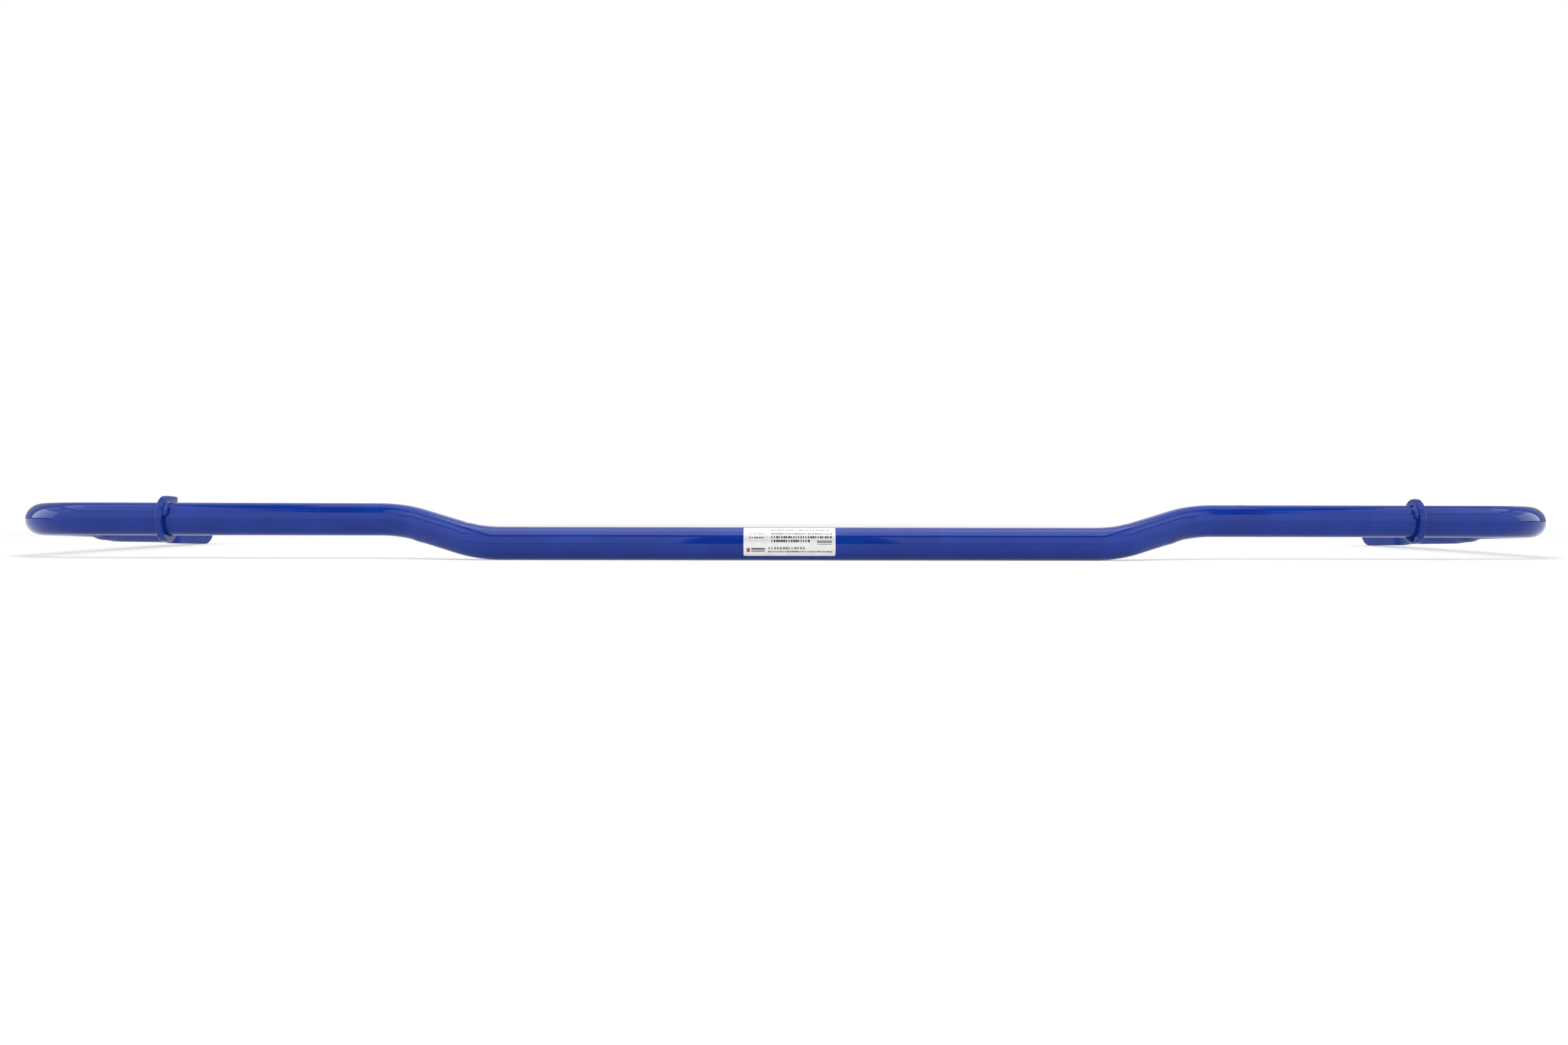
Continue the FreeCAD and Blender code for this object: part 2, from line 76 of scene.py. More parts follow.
# The arm's sections, by how far they lie behind the outer section's axis:
# half thickness, half height, corner radius, and shift towards the middle of the bar.
EYE_SECTION = (5.7 * MM, 15.29 * MM, 3 * MM, 2.4 * MM)
SHANK_SECTION = (6.7 * MM, 14.4 * MM, 4 * MM, 0)
STEP_SECTION = (8.5 * MM, 13.3 * MM, 7 * MM, 0)
ROUND_SECTION = (RADIUS, RADIUS, RADIUS, 0)
ARM_SECTIONS = [
    (118 * MM, ROUND_SECTION),
    (138 * MM, STEP_SECTION),
    (166 * MM, SHANK_SECTION),
    (252 * MM, SHANK_SECTION),
    (262 * MM, EYE_SECTION),
]
HOLE_CHAMFER = 0.6 * MM

QUADRANT = 24                        # mesh points in a quarter of the bar's section
TIP_STEPS = 40                       # and round each arm's tip
COARSE = 3 * MM                      # distance between rings of points on a straight run
FINE = 0.9 * MM                      # in a bend, and near a tool mark
MARK_REACH = 4                       # a mark has faded out at this many times its own reach
MARK_NEAR = 12 * MM                  # points lie closer together this near to a mark

# Tool marks: where along the bar, at what angle round it (0 faces front, 90 up), how far they
# reach along the bar and round it, and how high they stand. A negative height is a dent.
MARKS = [
    (-475 * MM, 8, 2.2 * MM, 30, -0.12 * MM),
    (-471 * MM, 8, 2.0 * MM, 26, 0.05 * MM),
    (-256 * MM, -84, 4.0 * MM, 40, 0.26 * MM),
    (-221 * MM, 92, 1.3 * MM, 26, -0.16 * MM),
    (-217 * MM, 92, 2.6 * MM, 30, 0.12 * MM),
    (217 * MM, 92, 3.0 * MM, 30, 0.16 * MM),
    (253 * MM, -84, 3.4 * MM, 40, 0.26 * MM),
    (263 * MM, -84, 2.0 * MM, 34, -0.10 * MM),
    (303 * MM, 92, 1.6 * MM, 16, 0.16 * MM),
]


# -------------------------------------------------------------------------------- node kit

class Nodes:
    """A shader tree that is written as short calls."""

    def __init__(self, tree):
        self.tree = tree
        self.tree.nodes.clear()

    def add(self, kind, **settings):
        """A node with its properties set."""
        node = self.tree.nodes.new(kind)
        for name, value in settings.items():
            setattr(node, name, value)
        return node

    def link(self, source, target):
        """Join an output to an input."""
        self.tree.links.new(source, target)

    def fill(self, socket, value):
        """Link an output to the socket, or set the socket if the value is plain."""
        if isinstance(value, bpy.types.NodeSocket):
            self.link(value, socket)
        else:
            socket.default_value = value

    def math(self, operation, first, second=0.5, third=0.5):
        """One arithmetic step."""
        node = self.add("ShaderNodeMath", operation=operation)
        for socket, value in zip(node.inputs, (first, second, third)):
            self.fill(socket, value)
        return node.outputs[0]

    def ramp(self, value, low, high, bottom=0.0, top=1.0):
        """Stretch a value from low..high to bottom..top, with soft ends."""
        node = self.add("ShaderNodeMapRange", interpolation_type="SMOOTHSTEP")
        for name, number in (("From Min", low), ("From Max", high),
                             ("To Min", bottom), ("To Max", top)):
            node.inputs[name].default_value = number
        self.link(value, node.inputs["Value"])
        return node.outputs["Result"]

    def mix(self, share, first, second):
        """Blend two colours; the mix node's colour sockets come after its plain and vector ones."""
        node = self.add("ShaderNodeMix", data_type="RGBA")
        self.fill(node.inputs[0], share)
        self.fill(node.inputs[6], first)
        self.fill(node.inputs[7], second)
        return node.outputs[2]

    def noise(self, place, scale, detail=3.0, roughness=0.5):
        """Soft noise over a place in metres."""
        node = self.add("ShaderNodeTexNoise")
        self.link(place, node.inputs["Vector"])
        node.inputs["Scale"].default_value = scale
        node.inputs["Detail"].default_value = detail
        node.inputs["Roughness"].default_value = roughness
        return node.outputs["Fac"]

    def bump(self, height, distance, strength, under=None):
        """A bump of a real height in metres, over another bump if one is given."""
        node = self.add("ShaderNodeBump")
        node.inputs["Distance"].default_value = distance
        node.inputs["Strength"].default_value = strength
        self.link(height, node.inputs["Height"])
        if under is not None:
            self.link(under, node.inputs["Normal"])
        return node.outputs["Normal"]


def new_material(name):
    """An empty node material with a Principled shader, and the place on the object in metres."""
    material = bpy.data.materials.new(name)
    material.use_nodes = True
    kit = Nodes(material.node_tree)
    shader = kit.add("ShaderNodeBsdfPrincipled")
    output = kit.add("ShaderNodeOutputMaterial")
    kit.link(shader.outputs[0], output.inputs["Surface"])
    place = kit.add("ShaderNodeTexCoord").outputs["Object"]
    return material, kit, shader, place


# ------------------------------------------------------------------------------- materials

BLUE = (0.0031, 0.0203, 0.188, 1)
BLUE_THIN = (0.0044, 0.0265, 0.220, 1)       # where the paint lies thinner
BLUE_DEEP = (0.0024, 0.0154, 0.156, 1)       # in hollows, where it pools
FORGED_FROM = ARM_START.y + 0.05             # the forged ends' rougher skin sets in over
FORGED_TO = ARM_START.y + 0.12               # this stretch of the arms
FORGED_ROUGHNESS = 0.32
PLAIN_GLOSS = 0.5
FORGED_GLOSS = 0.14


def paint(name, peel, roughness, lumps=0.0):
    """Glossy blue enamel: slow colour drift, orange peel, dust nibs and an uneven gloss.

    peel and lumps are the strengths of the orange peel and of the rough metal under the paint.
    """
    material, kit, shader, place = new_material(name)
    drift = kit.ramp(kit.noise(place, 38, 2), 0.35, 0.70)
    colour = kit.mix(drift, BLUE, BLUE_THIN)
    pooled = kit.ramp(kit.noise(place, 190, 4, 0.6), 0.56, 0.72, 0.0, 0.35)
    colour = kit.mix(pooled, colour, BLUE_DEEP)
    kit.link(colour, shader.inputs["Base Color"])

    split = kit.add("ShaderNodeSeparateXYZ")
    kit.link(place, split.inputs[0])
    back = split.outputs["Y"]
    scale = kit.ramp(back, FORGED_FROM, FORGED_TO, 0.0, FORGED_ROUGHNESS)
    haze = kit.ramp(kit.noise(place, 120, 5, 0.65), 0.3, 0.75, roughness * 0.8, roughness * 1.5)
    kit.link(kit.math("ADD", haze, scale), shader.inputs["Roughness"])
    gloss = kit.ramp(back, FORGED_FROM, FORGED_TO, PLAIN_GLOSS, FORGED_GLOSS)
    kit.link(gloss, shader.inputs["Specular IOR Level"])
    shader.inputs["IOR"].default_value = 1.335

    fine_peel = kit.noise(place, 420, 2, 0.45)
    slow_waves = kit.noise(place, 70, 1)
    normal = kit.bump(fine_peel, 0.02 * MM, peel)
    normal = kit.bump(slow_waves, 0.05 * MM, peel * 0.6, normal)
    nibs = kit.add("ShaderNodeTexVoronoi")
    nibs.inputs["Scale"].default_value = 95
    kit.link(place, nibs.inputs["Vector"])
    nib = kit.ramp(nibs.outputs["Distance"], 0.0, 0.028, 1.0, 0.0)
    normal = kit.bump(nib, 0.06 * MM, 0.7, normal)
    if lumps:
        normal = kit.bump(kit.noise(place, 620, 4, 0.6), 0.35 * MM, lumps, normal)
    kit.link(normal, shader.inputs["Normal"])
    return material


FILM_WHITE = (0.62, 0.62, 0.615, 1)
FILM_BRIGHT = (0.68, 0.68, 0.675, 1)
FILM_PAINTED_REFLECTION = (0.47, 0.48, 0.49, 1)            # painted reflection: a soft grey band across the middle, standing in for the dark gap between the lamps mirrored in the glossy film
REFLECTION_BAND_PLACE = 1.0                             # where the painted reflection band lies, in millimetres above the label's middle
RULE_GREY = (0.40, 0.42, 0.44, 1)
RULE_WIDTH = 0.2
RULE_LEFT, RULE_RIGHT, RULE_LOW, RULE_TOP = -28.4, -14.6, -0.4, 7.6


def label_rows():
    """The label's print, as plain bars: left, right, low, high in millimetres from its middle,
    the length of one bar with its gap (0 for a solid block), and the ink."""
    grey = (0.20, 0.195, 0.19, 1)
    pale = (0.30, 0.28, 0.24, 1)
    dark = (0.04, 0.04, 0.045, 1)
    red = (0.34, 0.035, 0.035, 1)
    return [
        (-12.0, 3.0, 7.0, 8.8, 1.9, pale),
        (6.0, 26.5, 7.0, 8.8, 2.3, pale),
        (-12.0, 28.0, 3.9, 5.3, 1.5, grey),
        (-12.0, 28.0, 1.3, 2.8, 1.6, dark),
        (-12.0, 13.5, -1.3, 0.2, 1.6, dark),
        (18.0, 28.0, -1.8, -0.2, 0.0, grey),
        (18.0, 28.0, -2.9, -2.5, 0.0, dark),
        (-14.0, 10.0, -6.2, -4.4, 1.9, grey),
        (-14.0, 28.2, -8.2, -7.2, 1.1, dark),
        (-28.2, -26.0, -7.9, -5.2, 0.0, red),
        (-25.2, -16.2, -6.3, -5.2, 0.0, dark),
        (-25.2, -16.2, -7.9, -6.8, 0.0, grey),
        (-26.5, -16.5, 1.3, 2.2, 1.6, dark),
        (-27.0, -16.0, 4.2, 4.9, 1.5, grey),
    ]


def between(kit, value, low, high):
    """1 where a value lies between two limits."""
    middle = (low + high) / 2
    off = kit.math("ABSOLUTE", kit.math("SUBTRACT", value, middle))
    return kit.math("LESS_THAN", off, (high - low) / 2)


def label_film():
    """Glossy white film with printed bars and a painted grey reflection band, laid out on the film
    unrolled in millimetres.
    """
    material, kit, shader, place = new_material("label_film")
    low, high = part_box("label")
    middle_angle = math.radians((LABEL_LOW_ANGLE + LABEL_HIGH_ANGLE) / 2)
    split = kit.add("ShaderNodeSeparateXYZ")
    kit.link(place, split.inputs[0])
    offset = kit.math("SUBTRACT", split.outputs["X"], (low.x + high.x) / 2)
    across = kit.math("DIVIDE", offset, MM)
    forward = kit.math("SUBTRACT", CENTRE_AXIS.y, split.outputs["Y"])
    raised = kit.math("SUBTRACT", split.outputs["Z"], CENTRE_AXIS.z)
    angle = kit.math("SUBTRACT", kit.math("ARCTAN2", raised, forward), middle_angle)
    upward = kit.math("MULTIPLY", angle, RADIUS / MM)

    fibre = kit.ramp(kit.noise(place, 260, 4), 0.3, 0.7)
    colour = kit.mix(fibre, FILM_WHITE, FILM_BRIGHT)
    # Painted reflection: a soft grey band across the film's middle, darkening the white where the
    # gloss would mirror the dark gap between the lamps.
    off_painted_reflection = kit.math("ABSOLUTE", kit.math("SUBTRACT", upward, REFLECTION_BAND_PLACE))
    colour = kit.mix(kit.ramp(off_painted_reflection, 0.5, 4.0, 0.75, 0.0), colour, FILM_PAINTED_REFLECTION)
    for number, (left, right, bottom, top, pitch, ink) in enumerate(label_rows()):
        mask = kit.math("MULTIPLY", between(kit, across, left, right),
                        between(kit, upward, bottom, top))
        if pitch:
            step = kit.math("DIVIDE", kit.math("SUBTRACT", across, left), pitch)
            cell = kit.math("FLOOR", step)
            row_seed = number * 37.0
            chance = kit.add("ShaderNodeTexWhiteNoise", noise_dimensions="1D")
            kit.link(kit.math("ADD", cell, row_seed), chance.inputs["W"])
            width = kit.ramp(chance.outputs["Value"], 0.0, 1.0, 0.45, 0.9)
            filled = kit.math("LESS_THAN", kit.math("FRACT", step), width)
            mask = kit.math("MULTIPLY", mask, filled)
        colour = kit.mix(mask, colour, ink)
    blocks = []
    for inset in (0.0, RULE_WIDTH):
        blocks.append(kit.math(
            "MULTIPLY", between(kit, across, RULE_LEFT + inset, RULE_RIGHT - inset),
            between(kit, upward, RULE_LOW + inset, RULE_TOP - inset)))
    colour = kit.mix(kit.math("SUBTRACT", blocks[0], blocks[1]), colour, RULE_GREY)
    kit.link(colour, shader.inputs["Base Color"])
    kit.link(kit.ramp(kit.noise(place, 300, 3), 0.3, 0.7, 0.10, 0.18),
             shader.inputs["Roughness"])
    shader.inputs["IOR"].default_value = 1.5
    kit.link(kit.bump(kit.noise(place, 500, 2), 0.01 * MM, 0.5), shader.inputs["Normal"])
    return material


# --------------------------------------------------------------------------- bar, as a mesh

def rounded_route(corners, radii):
    """Points and directions along straight runs joined by tangent arcs."""
    route = [(corners[0], (corners[1] - corners[0]).normalized())]
    for i in range(1, len(corners) - 1):
        corner = corners[i]
        back = (corners[i - 1] - corner).normalized()
        ahead = (corners[i + 1] - corner).normalized()
        turn = math.pi - back.angle(ahead)
        reach = radii[i - 1] * math.tan(turn / 2)
        inward = (back + ahead).normalized()
        centre = corner + inward * (radii[i - 1] / math.cos(turn / 2))
        add_run(route, corner + back * reach)
        out = (corner + back * reach) - centre
        axis = out.cross(-back).normalized()
        steps = max(8, round(turn * radii[i - 1] / FINE))
        for step in range(1, steps + 1):
            spin = Matrix.Rotation(turn * step / steps, 3, axis)
            route.append((centre + spin @ out, (spin @ -back).normalized()))
    add_run(route, corners[-1])
    return route


def add_run(route, end):
    """Add points of a straight run up to its end, closer together near a tool mark."""
    here, way = route[-1]
    length = (end - here).length
    start = here.copy()
    done = 0.0
    while done < length - 1e-9:
        near = any(abs(abs(here.x) - abs(mark[0])) < MARK_NEAR for mark in MARKS)
        done = min(length, done + (FINE if near else COARSE))
        here = start + way * done
        route.append((here, way))


def smooth(share):
    """Ease in and out from 0 to 1."""
    share = min(1.0, max(0.0, share))
    return share * share * (3 - 2 * share)


def arm_section(along):
    """The arm's section at a distance behind the outer section's axis."""
    before = ARM_SECTIONS[0]
    if along <= before[0]:
        return before[1]
    for after in ARM_SECTIONS[1:]:
        if along <= after[0]:
            share = smooth((along - before[0]) / (after[0] - before[0]))
            return tuple(a + (b - a) * share for a, b in zip(before[1], after[1]))
        before = after
    return before[1]


def quadrant(half_u, half_v, corner):
    """Points from (half_u, 0) to (0, half_v) on a rounded rectangle, denser on the corner."""
    corner_weight = 3.0
    rise = half_v - corner
    arc = corner * math.pi / 2 * corner_weight
    run = half_u - corner
    points = []
    for i in range(QUADRANT):
        place = (rise + arc + run) * i / QUADRANT
        if place <= rise:
            points.append((half_u, place))
        elif place <= rise + arc:
            angle = (place - rise) / arc * math.pi / 2
            points.append((run + corner * math.cos(angle), rise + corner * math.sin(angle)))
        else:
            points.append((run - (place - rise - arc), half_v))
    return points


def section_ring(section):
    """A closed ring of (u, v) points; u points outward on the arms, v upward."""
    half_u, half_v, corner, shift = section
    first = quadrant(half_u, half_v, corner)
    second = [(v, u) for u, v in quadrant(half_v, half_u, corner)]
    second = [(-u, v) for u, v in second[1:]]
    upper = first + [(0.0, half_v)] + second
    lower = [(-u, -v) for u, v in upper]
    return [(u - shift, v) for u, v in upper + lower]


def placed(point, way, uv):
    """A section point in space, on the right half of the bar."""
    outward = way.cross(Vector((0, 0, 1))).normalized()
    upward = outward.cross(way)
    return point + outward * uv[0] + upward * uv[1]


def half_rings():
    """Rings of points from the middle of the bar to the right arm's round tip."""
    corners = [
        CENTRE_AXIS,
        Vector((CENTRE_HALF, CENTRE_AXIS.y, CENTRE_AXIS.z)),
        Vector((OFFSET_HALF, OUTER_AXIS.y, OUTER_AXIS.z)),
        ARM_START,
        TIP,
    ]
    rings = []
    for point, way in rounded_route(corners, [OFFSET_BEND, OFFSET_BEND, ARM_BEND]):
        along = (point - ARM_START).dot(ARM_WAY)
        section = arm_section(along if point.x > ARM_X - MM else 0.0)
        rings.append([placed(point, way, uv) for uv in section_ring(section)])
    return rings


def mark_shift(point, away):
    """How far the tool marks move a surface point in or out. The arms have no marks."""
    on_arm = point.y >= OUTER_AXIS.y + 4 * RADIUS
    angle = math.degrees(math.atan2(away.z, -away.y))
    shift = 0.0
    for place, middle, reach, spread, height in MARKS:
        along = (point.x - place) / reach
        turn = (angle - middle + 180) % 360 - 180
        if abs(along) < MARK_REACH and not on_arm:
            shift += height * math.exp(-along * along - (turn / spread) ** 2)
    return shift


def build_bar():
    """The whole bar as one closed skin: both halves and their round tips, without the holes."""
    mesh = bmesh.new()
    right = half_rings()
    size = len(right[0])
    half = size // 2

    def ring_verts(ring, sign):
        """A ring's vertices, on the right (1) or mirrored to the left (-1), with tool marks."""
        middle = sum(ring, Vector()) / size
        verts = []
        for point in ring:
            away = (point - middle).normalized()
            flipped = Vector((sign * point.x, point.y, point.z))
            away.x *= sign
            verts.append(mesh.verts.new(flipped + away * mark_shift(flipped, away)))
        return verts

    rings = [ring_verts(ring, -1) for ring in reversed(right[1:])]
    rings += [ring_verts(ring, 1) for ring in right]
    for first, second in zip(rings, rings[1:]):
        for j in range(size):
            k = (j + 1) % size
            mesh.faces.new((first[j], first[k], second[k], second[j]))

    # Each tip is the last ring's upper half, turned in steps down to its lower half.
    upward = ARM_WAY.cross(Vector((-1, 0, 0))).normalized()
    for ring, sign in ((rings[0], -1), (rings[-1], 1)):
        centre = Vector((sign * TIP.x, TIP.y, TIP.z))
        previous = ring[:half + 1]
        for step in range(1, TIP_STEPS + 1):
            turn = math.pi * step / TIP_STEPS
            if step == TIP_STEPS:
                current = [ring[0]] + [ring[size - j] for j in range(1, half)] + [ring[half]]
            else:
                current = [ring[0]]
                for j in range(1, half):
                    offset = ring[j].co - centre
                    lift = offset.dot(upward)
                    way = upward * math.cos(turn) + ARM_WAY * math.sin(turn)
                    current.append(mesh.verts.new(
                        centre + Vector((offset.x, 0, 0)) + way * lift))
                current.append(ring[half])
            for j in range(half):
                corners = (previous[j], previous[j + 1], current[j + 1], current[j])
                mesh.faces.new(list(dict.fromkeys(corners)))
            previous = current
    bmesh.ops.recalc_face_normals(mesh, faces=mesh.faces)
    return finish_mesh("bar_skin", mesh)


def finish_mesh(name, mesh, smooth_faces=True):
    """Turn a bmesh into an object."""
    for face in mesh.faces:
        face.smooth = smooth_faces
    data = bpy.data.meshes.new(name)
    mesh.to_mesh(data)
    mesh.free()
    piece = bpy.data.objects.new(name, data)
    bpy.context.scene.collection.objects.link(piece)
    return piece


def hole_cutter(name, centre):
    """A round cutter along X that widens at the eye plate's two faces."""
    half = EYE_SECTION[0]
    beyond = 2 * MM                  # past the faces, where nothing is left to cut
    profile = [
        (-half - beyond, HOLE_RADIUS + HOLE_CHAMFER + beyond),
        (-half + HOLE_CHAMFER, HOLE_RADIUS),
        (half - HOLE_CHAMFER, HOLE_RADIUS),
        (half + beyond, HOLE_RADIUS + HOLE_CHAMFER + beyond),
    ]
    around = 96
    mesh = bmesh.new()
    loops = []
    for offset, radius in profile:
        loop = []
        for i in range(around):
            turn = 2 * math.pi * i / around
            loop.append(mesh.verts.new(centre + Vector(
                (offset, radius * math.cos(turn), radius * math.sin(turn)))))
        loops.append(loop)
    for first, second in zip(loops, loops[1:]):
        for i in range(around):
            k = (i + 1) % around
            mesh.faces.new((first[i], first[k], second[k], second[i]))
    mesh.faces.new(loops[0])
    mesh.faces.new(loops[-1])
    bmesh.ops.recalc_face_normals(mesh, faces=mesh.faces)
    return finish_mesh(name, mesh)


def apply_modifiers(piece):
    """Replace the piece's mesh with what its modifiers make of it."""
    graph = bpy.context.evaluated_depsgraph_get()
    data = bpy.data.meshes.new_from_object(piece.evaluated_get(graph))
    piece.modifiers.clear()
    piece.data = data


def drill_holes(bar):
    """Cut the four link holes."""
    cutters = []
    for side, sign in SIDES.items():
        for place, hole in (("rear", EYE_REAR), ("front", EYE_FRONT)):
            centre = Vector((sign * hole.x, hole.y, hole.z))
            cutters.append(hole_cutter("cutter_%s_%s" % (side, place), centre))
    for cutter in cutters:
        cut = bar.modifiers.new("cut", "BOOLEAN")
        cut.operation = "DIFFERENCE"
        cut.solver = "EXACT"
        cut.object = cutter
    apply_modifiers(bar)
    for cutter in cutters:
        bpy.data.objects.remove(cutter)


def crisp(piece, degrees):
    """Keep edges sharper than an angle, and weigh the other normals by face area."""
    piece.data.set_sharp_from_angle(angle=math.radians(degrees))
    weigh = piece.modifiers.new("weigh_normals", "WEIGHTED_NORMAL")
    weigh.keep_sharp = True


# ------------------------------------------------------------------- rings, beads and label

RING_INNER = 11.35 * MM              # radii of the band's two faces
RING_OUTER = 15.65 * MM
RING_TAIL = 14 * MM                  # length of the band's straight, lifted end
RING_TAIL_ANGLE = 88                 # where that end leaves the round, from the back upward
RING_CUT_ANGLE = 5                   # how far below the back its other end is cut
RING_TURNS = {"left": 0, "right": -40}           # how far each is turned about X, in degrees
RING_EDGE = 0.9 * MM
RING_TAPER = (0.86, 0.95, 1.0)       # share of the full section at the ends' last points
TACK_RADIUS = 2.4 * MM
TACK_STAND_OFF = 1.2 * MM            # from the bar's surface to the middle of a bead
TACK_SHIFT = 0.6 * MM                # from the ring's face to the middle of a bead
TACK_REACH = 46                      # degrees round the bar that one bead covers
TACK_RIPPLES = 4
FRONT_TACK = 148                     # middles of the beads, from the back, over the top
REAR_TACKS = {"left": 326, "right": 288}
LABEL_LOW_ANGLE = -45                # angles from the front, upward
LABEL_HIGH_ANGLE = 72
LABEL_THICKNESS = 0.12 * MM
LABEL_CORNER = 1.2 * MM


def band_profile(half_width, half_depth, edge):
    """A rounded rectangle, as (along the bar, away from its axis) points.

    The two corners next to the bar are half as round as the outer ones.
    """
    points = []
    steps = 4
    for quarter, (side, lift) in enumerate(((1, 1), (-1, 1), (-1, -1), (1, -1))):
        radius = edge if lift > 0 else edge * 0.5
        for i in range(steps + 1):
            turn = math.pi / 2 * (quarter + i / steps)
            points.append((side * (half_width - radius) + radius * math.cos(turn),
                           lift * (half_depth - radius) + radius * math.sin(turn)))
    return points


def ring_path():
    """The band's middle line in the (back, up) plane: position, and the way out of the bar."""
    middle = (RING_INNER + RING_OUTER) / 2
    start = math.radians(RING_TAIL_ANGLE)
    end = 2 * math.pi - math.radians(RING_CUT_ANGLE)
    away = Vector((math.cos(start), math.sin(start)))
    along = Vector((math.sin(start), -math.cos(start)))
    path = []
    tail_steps = 10
    for i in range(tail_steps):
        path.append((away * middle + along * RING_TAIL * (1 - i / tail_steps), away))
    arc_steps = 110
    for i in range(arc_steps + 1):
        angle = start + (end - start) * i / arc_steps
        out = Vector((math.cos(angle), math.sin(angle)))
        path.append((out * middle, out))
    return path


def build_ring(side):
    """A split ring, bent from flat bar: softened edges, hammered sides and one lifted end."""
    low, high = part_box(side + "_stop_ring")
    middle = Vector(((low.x + high.x) / 2, OUTER_AXIS.y, OUTER_AXIS.z))
    half_width = (high.x - low.x) / 2
    half_depth = (RING_OUTER - RING_INNER) / 2
    turn = Matrix.Rotation(math.radians(RING_TURNS[side]), 3, "X")
    mesh = bmesh.new()
    loops = []
    path = ring_path()
    for i, (place, way_out) in enumerate(path):
        out = turn @ Vector((0, way_out.x, way_out.y))
        end_distance = min(i, len(path) - 1 - i)
        ease = RING_TAPER[min(len(RING_TAPER) - 1, end_distance)]
        loop = []
        for width, depth in band_profile(half_width, half_depth, RING_EDGE):
            depth = depth * ease
            width = width * ease
            point = middle + turn @ Vector((width, place.x, place.y)) + out * depth
            dents = noise.noise(point * 260) * 0.16 * MM
            grain = noise.noise(point * 700) * 0.05 * MM
            shove = abs(dents + grain)
            point.x -= math.copysign(shove, width)
            if depth > 0:
                point -= out * shove
            loop.append(mesh.verts.new(point))
        loops.append(loop)
    for first, second in zip(loops, loops[1:]):
        for j in range(len(first)):
            k = (j + 1) % len(first)
            mesh.faces.new((first[j], first[k], second[k], second[j]))
    for loop in (loops[0], loops[-1]):
        mesh.faces.new(loop)
    bmesh.ops.recalc_face_normals(mesh, faces=mesh.faces)
    ring = finish_mesh(side + "_stop_ring_band", mesh)
    crisp(ring, 42)
    return ring


def build_bead(side, end_name, middle_angle, seed):
    """A short weld bead of overlapping ripples, laid in the corner of ring and bar."""
    sign = SIDES[side]
    low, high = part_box(side + "_stop_ring")
    face = low.x if sign > 0 else high.x
    axis_point = Vector((face - sign * TACK_SHIFT, OUTER_AXIS.y, OUTER_AXIS.z))
    radius = RADIUS + TACK_STAND_OFF
    steps, around = 72, 36
    mesh = bmesh.new()
    loops = []
    for i in range(steps + 1):
        share = i / steps
        angle = math.radians(middle_angle + TACK_REACH * (share - 0.5))
        out = Vector((0, math.cos(angle), math.sin(angle)))
        centre = axis_point + out * radius
        ends = math.sqrt(max(0.0004, 1 - (2 * share - 1) ** 4))
        ripple = 0.88 + 0.12 * abs(math.sin(math.pi * TACK_RIPPLES * share + seed))
        loop = []
        for j in range(around):
            turn = 2 * math.pi * j / around
            way = Vector((-sign * math.cos(turn), 0, 0)) + out * math.sin(turn)
            lump = noise.noise((centre + way * TACK_RADIUS) * 420 + Vector((seed, 0, 0)))
            fine = noise.noise((centre + way * TACK_RADIUS) * 1300 + Vector((0, seed, 0)))
            reach = TACK_RADIUS * ends * (ripple + 0.16 * lump + 0.05 * fine)
            loop.append(mesh.verts.new(centre + way * reach))
        loops.append(loop)
    for first, second in zip(loops, loops[1:]):
        for j in range(around):
            k = (j + 1) % around
            mesh.faces.new((first[j], first[k], second[k], second[j]))
    mesh.faces.new(loops[0])
    mesh.faces.new(loops[-1])
    bmesh.ops.recalc_face_normals(mesh, faces=mesh.faces)
    return finish_mesh("%s_%s_weld_bead" % (side, end_name), mesh)


def build_label():
    """A thin film with round corners, wrapped on the front of the centre section."""
    low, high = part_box("label")
    half_length = (high.x - low.x) / 2
    middle = (high.x + low.x) / 2
    bottom = math.radians(LABEL_LOW_ANGLE) * RADIUS
    top = math.radians(LABEL_HIGH_ANGLE) * RADIUS
    half_height = (top - bottom) / 2
    centre = (top + bottom) / 2
    corner_steps, columns, rows = 10, 60, 64
    places = []
    for i in range(corner_steps + 1):
        places.append(LABEL_CORNER * (1 - math.cos(math.pi / 2 * i / corner_steps)))
    inner = 2 * half_length - 2 * LABEL_CORNER
    places += [LABEL_CORNER + inner * i / columns for i in range(1, columns)]
    places += [2 * half_length - place for place in reversed(places[:corner_steps + 1])]

    mesh = bmesh.new()
    layers = []
    for radius in (RADIUS, RADIUS + LABEL_THICKNESS):
        grid = []
        for place in places:
            inset = max(0.0, LABEL_CORNER - min(place, 2 * half_length - place))
            drop = LABEL_CORNER - math.sqrt(LABEL_CORNER ** 2 - inset ** 2)
            column = []
            for j in range(rows + 1):
                arc = centre + (half_height - drop) * (2 * j / rows - 1)
                angle = arc / RADIUS
                column.append(mesh.verts.new(Vector((
                    middle - half_length + place,
                    CENTRE_AXIS.y - radius * math.cos(angle),
                    CENTRE_AXIS.z + radius * math.sin(angle)))))
            grid.append(column)
        layers.append(grid)
    for grid in layers:
        for first, second in zip(grid, grid[1:]):
            for j in range(rows):
                mesh.faces.new((first[j], first[j + 1], second[j + 1], second[j]))
    under, over = (outline(grid) for grid in layers)
    for i in range(len(under)):
        k = (i + 1) % len(under)
        mesh.faces.new((under[i], under[k], over[k], over[i]))
    bmesh.ops.recalc_face_normals(mesh, faces=mesh.faces)
    label = finish_mesh("label_film_sheet", mesh)
    crisp(label, 40)
    return label


def outline(grid):
    """The vertices round the edge of a grid of columns."""
    left_to_right = [column[0] for column in grid]
    right_to_left = [column[-1] for column in reversed(grid)]
    return left_to_right + grid[-1][1:-1] + right_to_left + list(reversed(grid[0][1:-1]))


